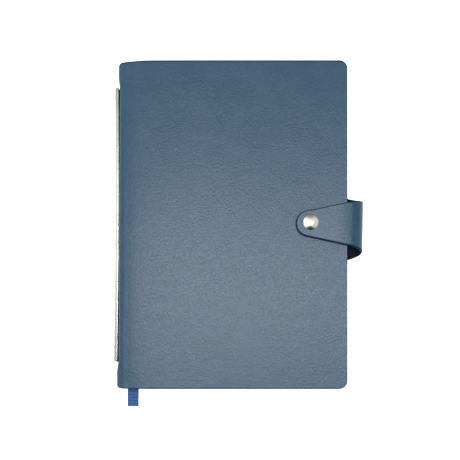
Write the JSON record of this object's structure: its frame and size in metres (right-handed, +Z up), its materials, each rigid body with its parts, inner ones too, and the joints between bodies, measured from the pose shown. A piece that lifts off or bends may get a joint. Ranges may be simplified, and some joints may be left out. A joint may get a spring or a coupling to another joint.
{
  "type": "pilot logbook",
  "caption": "Soft-covered ring logbook with an outside ring mechanism, log leaves, ribbon marker and a snap strap round the fore-edge",
  "frame": {"origin": "middle of the back cover's outer face, which the closed book lies on", "axes": "+X from the spine to the fore-edge, +Y to the head of the book, +Z up through the front cover"},
  "size_m": [0.1641, 0.2272, 0.021],
  "materials": {
    "blue_leather": "pebbled leather-cloth, satin",
    "lining": "smooth matt lining cloth",
    "grey_board": "grey pulp board",
    "nickel": "bright nickel plate",
    "spring_steel": "plain rolled steel",
    "paper": "uncoated ivory paper",
    "card": "smooth ivory card",
    "ribbon": "ribbed woven satin tape"
  },
  "bodies": {
    "back_cover": {"back_cover_skin": "blue_leather", "back_cover_board": "grey_board", "back_cover_lining": "lining", "strap_root": "blue_leather"},
    "spine": {"spine_skin": "blue_leather", "spine_stiffener": "grey_board", "spine_lining": "lining", "mechanism_shell": "nickel", "upper_toggle_plate": "spring_steel", "lower_toggle_plate": "spring_steel", "mechanism_rivet_head": "nickel", "mechanism_rivet_tail": "nickel", "rivet_washer_head": "nickel", "rivet_washer_tail": "nickel", "ribbon_marker": "ribbon", "ring_1_lower_half": "nickel", "ring_1_upper_half": "nickel", "ring_2_lower_half": "nickel", "ring_2_upper_half": "nickel", "ring_3_lower_half": "nickel", "ring_3_upper_half": "nickel", "ring_4_lower_half": "nickel", "ring_4_upper_half": "nickel", "ring_5_lower_half": "nickel", "ring_5_upper_half": "nickel", "ring_6_lower_half": "nickel", "ring_6_upper_half": "nickel"},
    "front_cover": {"front_cover_skin": "blue_leather", "front_cover_board": "grey_board", "front_cover_lining": "lining", "snap_stud": "nickel", "snap_eyelet": "nickel"},
    "strap_loop": {"strap_loop_outer": "blue_leather", "strap_loop_lining": "lining"},
    "strap_flap": {"strap_flap_outer": "blue_leather", "strap_flap_lining": "lining", "snap_cap": "nickel", "snap_socket": "nickel", "snap_ring_spring": "spring_steel"},
    "front_flyleaf_body": {"front_flyleaf": "card"},
    "log_section_1_body": {"log_section_1": "paper"},
    "log_section_2_body": {"log_section_2": "paper"},
    "log_section_3_body": {"log_section_3": "paper"},
    "log_section_4_body": {"log_section_4": "paper"},
    "rear_flyleaf_body": {"rear_flyleaf": "card"}
  },
  "joints": [
    {"name": "back_cover_hinge", "type": "hinge", "parent": "back_cover", "child": "spine", "pos_m": [-0.07383, 0, 0.00117], "axis": [0, -1, 0], "range_deg": [0, 90]},
    {"name": "front_cover_hinge", "type": "hinge", "parent": "spine", "child": "front_cover", "pos_m": [-0.07376, 0, 0.01989], "axis": [0, -1, 0], "range_deg": [0, 92.68]},
    {"name": "strap_loop_hinge", "type": "hinge", "parent": "back_cover", "child": "strap_loop", "pos_m": [0.07505, 0, 0.0009], "axis": [0, 1, 0], "range_deg": [0, 14]},
    {"name": "strap_flap_hinge", "type": "hinge", "parent": "strap_loop", "child": "strap_flap", "pos_m": [0.08553, 0, 0.00923], "axis": [0, 1, 0], "range_deg": [0, 140]},
    {"name": "front_flyleaf_turn", "type": "hinge", "parent": "spine", "child": "front_flyleaf_body", "pos_m": [-0.0673, 0, 0.0105], "axis": [0, -1, 0], "range_deg": [0, 91.39]},
    {"name": "log_section_1_turn", "type": "hinge", "parent": "spine", "child": "log_section_1_body", "pos_m": [-0.0673, 0, 0.0105], "axis": [0, -1, 0], "range_deg": [0, 91.39]},
    {"name": "log_section_2_turn", "type": "hinge", "parent": "spine", "child": "log_section_2_body", "pos_m": [-0.0673, 0, 0.0105], "axis": [0, -1, 0], "range_deg": [0, 91.39]},
    {"name": "log_section_3_turn", "type": "hinge", "parent": "spine", "child": "log_section_3_body", "pos_m": [-0.0673, 0, 0.0105], "axis": [0, -1, 0], "range_deg": [-88.63, 0]},
    {"name": "log_section_4_turn", "type": "hinge", "parent": "spine", "child": "log_section_4_body", "pos_m": [-0.0673, 0, 0.0105], "axis": [0, -1, 0], "range_deg": [-88.63, 0]},
    {"name": "rear_flyleaf_turn", "type": "hinge", "parent": "spine", "child": "rear_flyleaf_body", "pos_m": [-0.0673, 0, 0.0105], "axis": [0, -1, 0], "range_deg": [-88.63, 0]}
  ],
  "couplings": [
    {"joint": "strap_loop_hinge", "follows": "strap_flap_hinge", "ratio": 0.1},
    {"joint": "front_flyleaf_turn", "follows": "front_cover_hinge", "ratio": 0.98594},
    {"joint": "log_section_1_turn", "follows": "front_cover_hinge", "ratio": 0.98594},
    {"joint": "log_section_2_turn", "follows": "front_cover_hinge", "ratio": 0.98594},
    {"joint": "log_section_3_turn", "follows": "back_cover_hinge", "ratio": -0.9847},
    {"joint": "log_section_4_turn", "follows": "back_cover_hinge", "ratio": -0.9847},
    {"joint": "rear_flyleaf_turn", "follows": "back_cover_hinge", "ratio": -0.9847}
  ]
}
